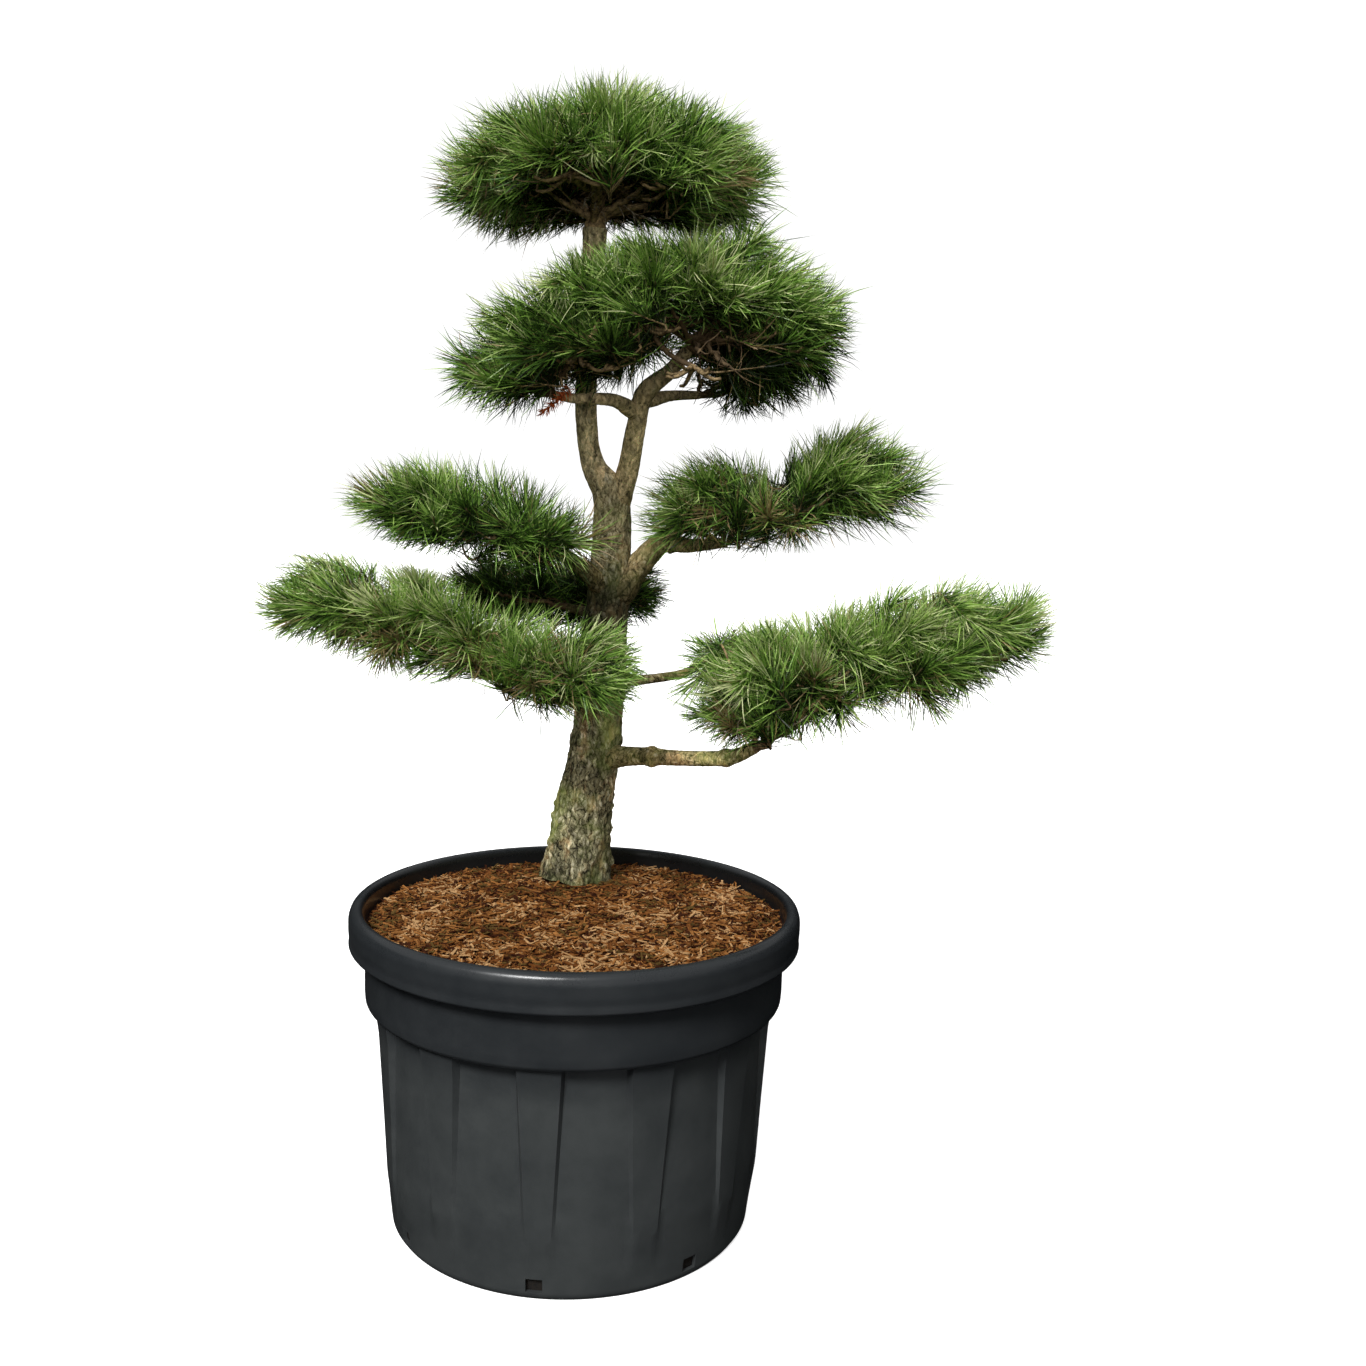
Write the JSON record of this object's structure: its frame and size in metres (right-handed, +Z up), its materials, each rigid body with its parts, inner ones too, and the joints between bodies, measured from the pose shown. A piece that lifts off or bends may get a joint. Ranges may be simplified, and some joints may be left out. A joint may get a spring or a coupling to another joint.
{
  "type": "potted austrian pine garden bonsai",
  "caption": "Pine trained as a garden bonsai: leaning trunk that forks, side boughs with separate clipped pads of needles and a domed crown, in a round ribbed nursery pot.",
  "frame": {"origin": "centre of the flat underside of the pot", "axes": "+Z up, -Y towards the viewer at the plant's front, +X to the right of that front"},
  "size_m": [1.4613, 0.929, 2.0282],
  "materials": {
    "pot_plastic": "satin moulded plastic with dusty scuffs",
    "root_ball_peat": "matte moist peat",
    "mulch_chips": "matte bark chips",
    "old_bark": "rough plated bark",
    "young_bark": "fine scaly bark",
    "pine_needles": "waxy green needles"
  },
  "bodies": {
    "root": {"pot": "pot_plastic", "root_ball": "root_ball_peat", "bark_mulch": "mulch_chips", "trunk": "old_bark", "leader_right": "young_bark", "bough_shoulder_left": "young_bark", "bough_shoulder_rear": "young_bark", "bough_mid_right": "young_bark", "bough_mid_left": "young_bark", "bough_rear": "young_bark", "bough_lower_left": "young_bark", "bough_lower_right": "young_bark", "bough_lower_right_rear": "young_bark", "pad_crown": "pine_needles", "pad_shoulder_right": "pine_needles", "pad_shoulder_left": "pine_needles", "pad_shoulder_rear": "pine_needles", "pad_mid_right": "pine_needles", "pad_mid_left": "pine_needles", "pad_rear": "pine_needles", "pad_lower_left": "pine_needles", "pad_lower_right": "pine_needles", "pad_lower_right_rear": "pine_needles"}
  },
  "joints": []
}
